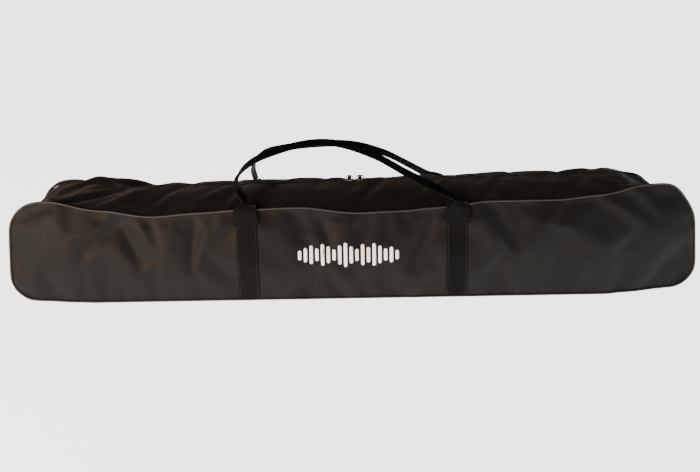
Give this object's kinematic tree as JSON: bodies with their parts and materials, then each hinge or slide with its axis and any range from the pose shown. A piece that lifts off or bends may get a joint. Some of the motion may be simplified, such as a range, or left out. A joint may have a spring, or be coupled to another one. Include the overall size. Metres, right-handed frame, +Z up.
{
  "type": "padded gig bag",
  "caption": "Long soft padded bag for stands, with piped panels, a zip along the crest of its top that opens two flaps, and two web carrying handles.",
  "frame": {"origin": "middle of the base, on the surface that the bag stands on", "axes": "+X along the bag to its right end, -Y the printed front, +Z up"},
  "size_m": [1.27, 0.2205, 0.2906],
  "materials": {
    "woven_polyester": "coated woven polyester, slight satin sheen",
    "foam": "closed-cell foam sheet, matt",
    "lining_cloth": "thin plain-woven nylon lining",
    "piping": "coated piping over a round cord, satin",
    "webbing": "ribbed woven polypropylene webbing",
    "zip_tape": "herringbone woven zip tape",
    "zip_coil": "nylon coil, low sheen",
    "die_cast_zinc": "die-cast zinc, nickel plated and slightly dulled"
  },
  "bodies": {
    "shell": {"front_panel": "woven_polyester", "rear_panel": "woven_polyester", "base_panel": "woven_polyester", "left_end_panel": "woven_polyester", "right_end_panel": "woven_polyester", "front_pad": "foam", "rear_pad": "foam", "base_pad": "foam", "left_end_pad": "foam", "right_end_pad": "foam", "main_lining": "lining_cloth", "front_piping": "piping", "rear_piping": "piping", "front_left_strap": "webbing", "front_right_strap": "webbing", "rear_left_strap": "webbing", "rear_right_strap": "webbing", "left_zip_tab": "webbing", "right_zip_tab": "webbing"},
    "front_flap": {"front_top_panel": "woven_polyester", "front_top_pad": "foam", "front_top_lining": "lining_cloth", "front_zip_tape": "zip_tape", "front_zip_coil": "zip_coil"},
    "rear_flap": {"rear_top_panel": "woven_polyester", "rear_top_pad": "foam", "rear_top_lining": "lining_cloth", "rear_zip_tape": "zip_tape", "rear_zip_coil": "zip_coil"},
    "front_loop": {"front_handle": "webbing"},
    "rear_loop": {"rear_handle": "webbing"},
    "left_zip_slider": {"left_slider": "die_cast_zinc"},
    "right_zip_slider": {"right_slider": "die_cast_zinc"},
    "left_zip_pull": {"left_pull": "die_cast_zinc"},
    "right_zip_pull": {"right_pull": "die_cast_zinc"}
  },
  "joints": [
    {"name": "front_flap_open", "type": "hinge", "parent": "shell", "child": "front_flap", "pos_m": [0, -0.0979, 0.1729], "axis": [1, 0, 0], "range_deg": [0, 90]},
    {"name": "rear_flap_open", "type": "hinge", "parent": "shell", "child": "rear_flap", "pos_m": [0, 0.0979, 0.1729], "axis": [-1, 0, 0], "range_deg": [0, 90]},
    {"name": "front_handle_fold", "type": "hinge", "parent": "front_flap", "child": "front_loop", "pos_m": [0, -0.106, 0.187], "axis": [-1, 0, 0], "range_deg": [-165, 0]},
    {"name": "rear_handle_fold", "type": "hinge", "parent": "rear_flap", "child": "rear_loop", "pos_m": [0, 0.106, 0.187], "axis": [1, 0, 0], "range_deg": [-165, 0]},
    {"name": "left_slider_run", "type": "slide", "parent": "rear_flap", "child": "left_zip_slider", "axis": [-0.9999, 0, -0.014], "range_m": [0, 0.477]},
    {"name": "right_slider_run", "type": "slide", "parent": "rear_flap", "child": "right_zip_slider", "axis": [0.9999, 0, 0.014], "range_m": [0, 0.463]},
    {"name": "left_pull_swing", "type": "hinge", "parent": "left_zip_slider", "child": "left_zip_pull", "pos_m": [-0.003, 0.0019, 0.21246], "axis": [1, 0, 0], "range_deg": [0, 110]},
    {"name": "right_pull_swing", "type": "hinge", "parent": "right_zip_slider", "child": "right_zip_pull", "pos_m": [0.017, 0.0019, 0.21274], "axis": [1, 0, 0], "range_deg": [0, 110]}
  ]
}
